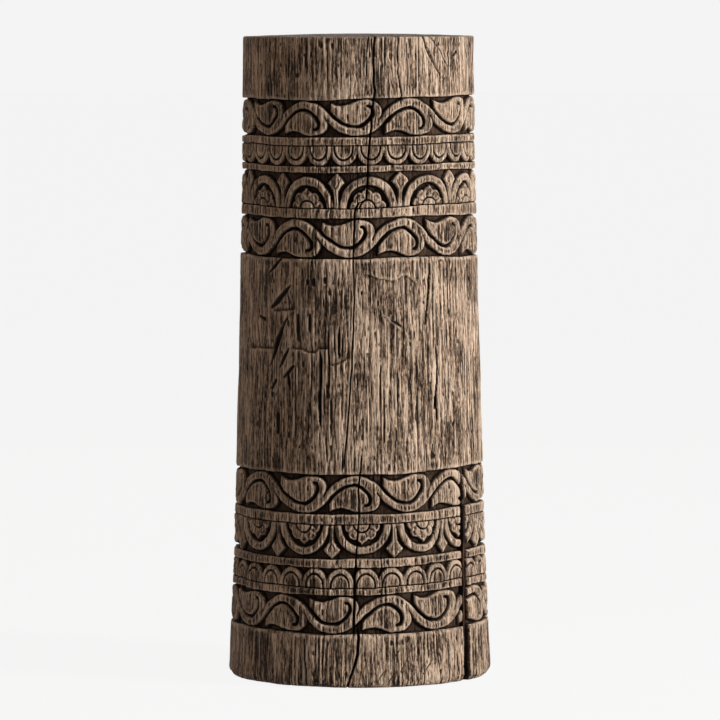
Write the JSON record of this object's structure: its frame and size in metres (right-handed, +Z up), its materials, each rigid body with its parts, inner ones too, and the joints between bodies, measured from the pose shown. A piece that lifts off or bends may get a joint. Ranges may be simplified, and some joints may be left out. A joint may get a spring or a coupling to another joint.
{
  "type": "carved pedestal column stand",
  "caption": "Round log pedestal with bands of carved scrolls, arches and scallops and a flat top that displays a plant, vase or sculpture.",
  "frame": {"origin": "on the floor, under the middle of the feet", "axes": "+Z up the column, front of the pictured side towards -Y, +X to the viewer's right"},
  "size_m": [0.3108, 0.3108, 0.762],
  "materials": {
    "carved_wood": "oiled and weathered dark hardwood, raised faces rubbed paler",
    "slip_wood": "raw split wood",
    "pad_rubber": "matte black rubber",
    "fastener_steel": "zinc plated steel"
  },
  "bodies": {
    "root": {"trunk": "carved_wood", "check_slip": "slip_wood", "check_wedge": "slip_wood", "foot_pad_back_right": "pad_rubber", "foot_pad_back_left": "pad_rubber", "foot_pad_front_left": "pad_rubber", "foot_pad_front_right": "pad_rubber", "foot_washers": "fastener_steel", "foot_screws": "fastener_steel"}
  },
  "joints": []
}
